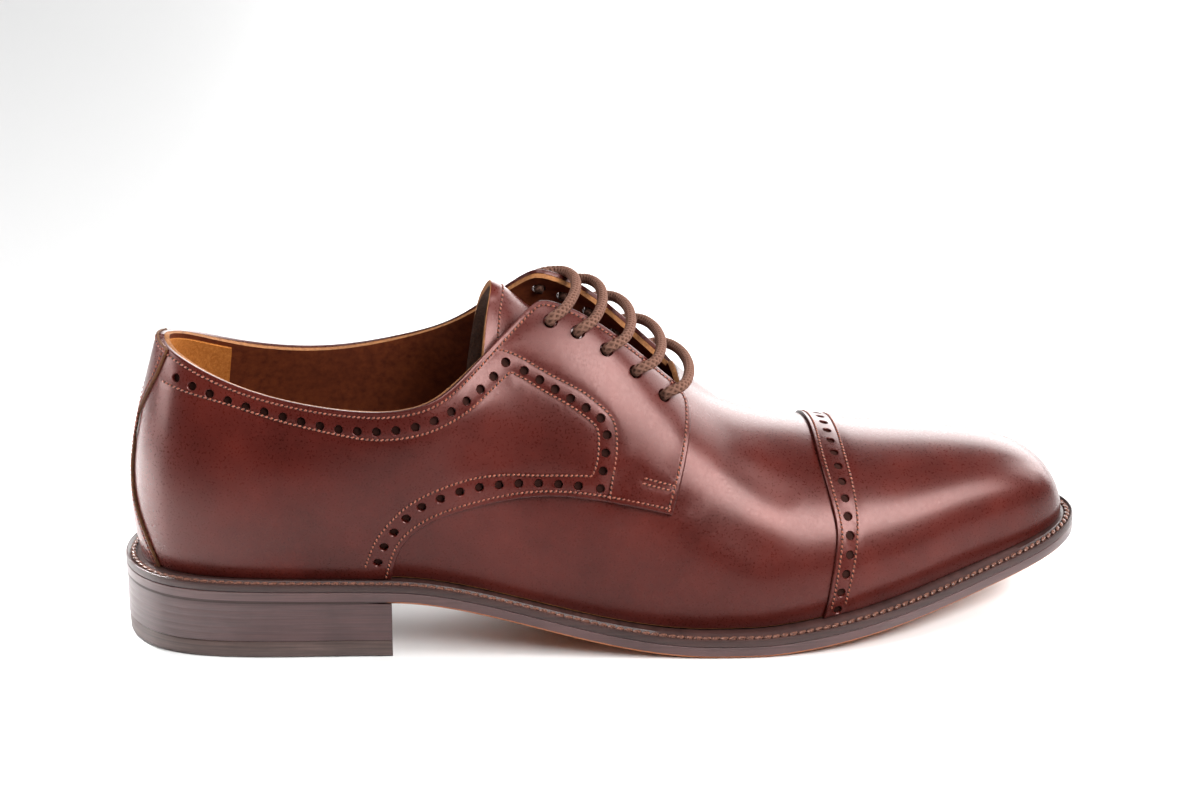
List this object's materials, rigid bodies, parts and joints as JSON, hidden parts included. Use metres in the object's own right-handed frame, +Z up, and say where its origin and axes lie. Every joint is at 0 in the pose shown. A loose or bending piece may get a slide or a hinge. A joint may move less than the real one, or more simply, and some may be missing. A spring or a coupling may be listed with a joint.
{
  "type": "derby shoe",
  "caption": "Brown leather cap-toe derby shoe with punched brogue bands, a stitched welt, a stacked heel and a laced open throat.",
  "frame": {"origin": "Centre of the outsole's length and width, on the floor that the shoe stands on.", "axes": "+X points from the heel to the toe, +Y to the medial side, +Z up."},
  "size_m": [0.305, 0.1074, 0.1109],
  "materials": {
    "upper_leather": "polished smooth calf, burgundy brown",
    "insole_leather": "plain tan, matt",
    "welt_leather": "dyed dark, stitched",
    "sole_leather": "dyed and burnished edge",
    "heel_leather": "stacked layers, dyed and burnished",
    "lift_rubber": "matt",
    "lace_cotton": "round braided cotton"
  },
  "bodies": {
    "root": {"upper": "upper_leather", "quarter_lateral": "upper_leather", "quarter_medial": "upper_leather", "toe_cap": "upper_leather", "back_strap": "upper_leather", "tongue": "upper_leather", "insole": "insole_leather", "welt": "welt_leather", "outsole": "sole_leather", "heel_stack": "heel_leather", "heel_lift": "lift_rubber", "lace_bar_1": "lace_cotton", "lace_bar_2": "lace_cotton", "lace_bar_3": "lace_cotton", "lace_bar_4": "lace_cotton", "lace_bar_5": "lace_cotton"}
  },
  "joints": []
}
